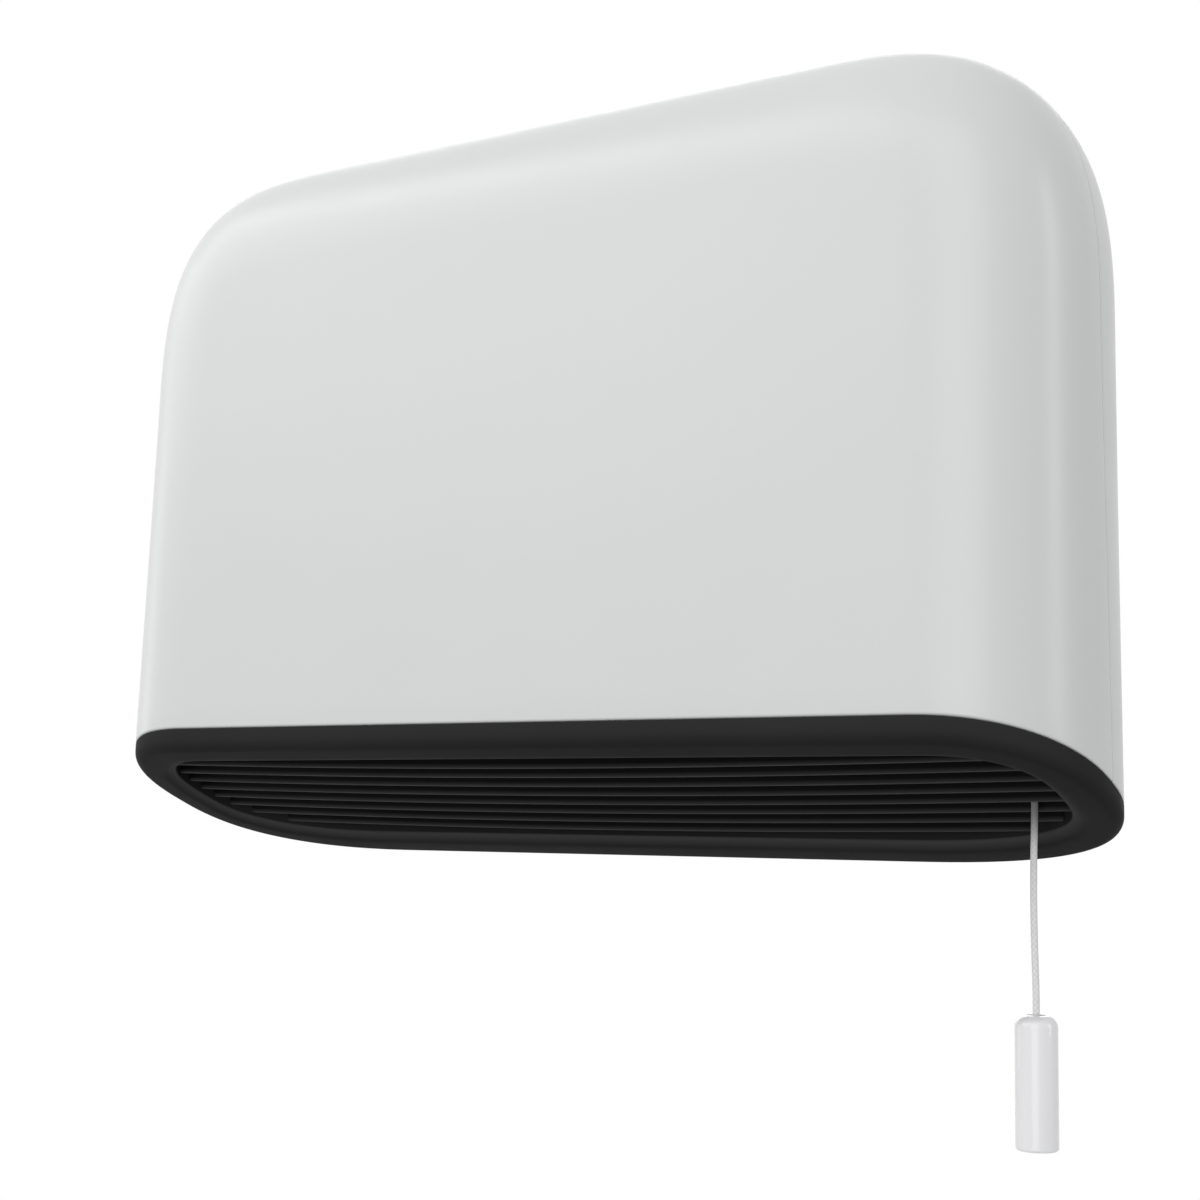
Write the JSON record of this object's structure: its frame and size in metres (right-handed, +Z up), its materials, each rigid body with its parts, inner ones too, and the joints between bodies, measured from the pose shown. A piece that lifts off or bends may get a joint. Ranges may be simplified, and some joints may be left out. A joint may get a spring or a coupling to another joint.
{
  "type": "bathroom wall fan heater",
  "caption": "Wall-mounted bathroom fan heater with a rounded white housing, a black sloping outlet grille underneath and a pull cord switch.",
  "frame": {"origin": "on the wall, at the middle of the wall bracket's four screw holes", "axes": "+X to the right seen from the front, +Y into the wall, +Z up"},
  "size_m": [0.3204, 0.0848, 0.2927],
  "materials": {
    "white_shell": "satin moulded ABS, white",
    "black_satin": "satin moulded heat-resistant plastic, black",
    "black_grille": "matt moulded heat-resistant plastic, black",
    "zinc_sheet": "zinc-plated sheet steel",
    "soft_rubber": "moulded rubber",
    "screw_steel": "zinc-plated steel",
    "ground_steel": "ground steel",
    "wheel_metal": "pressed aluminium",
    "core_steel": "laminated electrical steel",
    "bearing_bronze": "sintered bronze",
    "natural_nylon": "moulded nylon, natural",
    "copper_winding": "enamelled copper winding",
    "mica_board": "pressed mica board",
    "resistance_ribbon": "resistance ribbon, dull",
    "brass_contacts": "brass",
    "black_phenolic": "phenolic plastic, black",
    "fuse_ceramic": "ceramic",
    "red_nylon": "moulded nylon, red",
    "white_braid": "braided cord, white",
    "white_handle": "satin moulded plastic, white"
  },
  "bodies": {
    "housing": {"front_cover": "white_shell", "rear_housing": "white_shell", "outlet_bezel": "black_satin", "outlet_grille": "black_grille", "inlet_grille": "white_shell", "wall_bracket": "zinc_sheet", "wall_pads": "soft_rubber", "chassis": "zinc_sheet", "chassis_screws": "screw_steel", "end_plate_left": "zinc_sheet", "end_plate_right": "zinc_sheet", "scroll_back": "zinc_sheet", "scroll_front": "zinc_sheet", "blower_screws": "screw_steel", "bearing_bush": "soft_rubber", "end_bearing": "bearing_bronze", "stator_core": "core_steel", "coil_bobbin": "natural_nylon", "motor_coil": "copper_winding", "motor_strap_inner": "zinc_sheet", "motor_strap_outer": "zinc_sheet", "motor_bearings": "bearing_bronze", "motor_posts": "screw_steel", "motor_screws": "screw_steel", "element_frame": "mica_board", "heating_ribbons": "resistance_ribbon", "element_tabs": "brass_contacts", "thermal_cutout": "black_phenolic", "thermal_fuse": "fuse_ceramic", "switch_bracket": "zinc_sheet", "switch_case": "natural_nylon", "switch_cover": "natural_nylon", "switch_pin": "screw_steel", "switch_spring": "screw_steel", "switch_contacts": "brass_contacts", "terminal_block": "natural_nylon", "terminal_screws": "brass_contacts", "cable_grommet": "soft_rubber", "cable_clamp": "natural_nylon", "fitting_screws": "screw_steel"},
    "fan": {"fan_wheel": "wheel_metal", "motor_shaft": "ground_steel", "stub_shaft": "ground_steel", "motor_rotor": "core_steel"},
    "pull": {"switch_slider": "black_phenolic", "pull_cord": "white_braid", "cord_handle": "white_handle", "cord_knot": "white_braid"},
    "drive": {"drive_disc": "red_nylon"},
    "cam": {"contact_cam": "black_phenolic"}
  },
  "joints": [
    {"name": "fan_spin", "type": "hinge", "parent": "housing", "child": "fan", "pos_m": [0, -0.0478, 0.028], "axis": [1, 0, 0], "continuous": true},
    {"name": "cord_pull", "type": "slide", "parent": "housing", "child": "pull", "axis": [0, 0, -1], "range_m": [0, 0.008], "stiffness_N_per_m": 400, "springref_m": -0.003, "deforming": ["switch_spring"]},
    {"name": "drive_turn", "type": "hinge", "parent": "housing", "child": "drive", "pos_m": [0.1287, -0.0361, -0.042], "axis": [0, 1, 0], "range_deg": [0, 58.6]},
    {"name": "cam_turn", "type": "hinge", "parent": "housing", "child": "cam", "pos_m": [0.1287, -0.0281, -0.042], "axis": [0, 1, 0], "continuous": true}
  ],
  "couplings": [
    {"joint": "drive_turn", "follows": "cord_pull", "rad_per_m": 127.39}
  ]
}
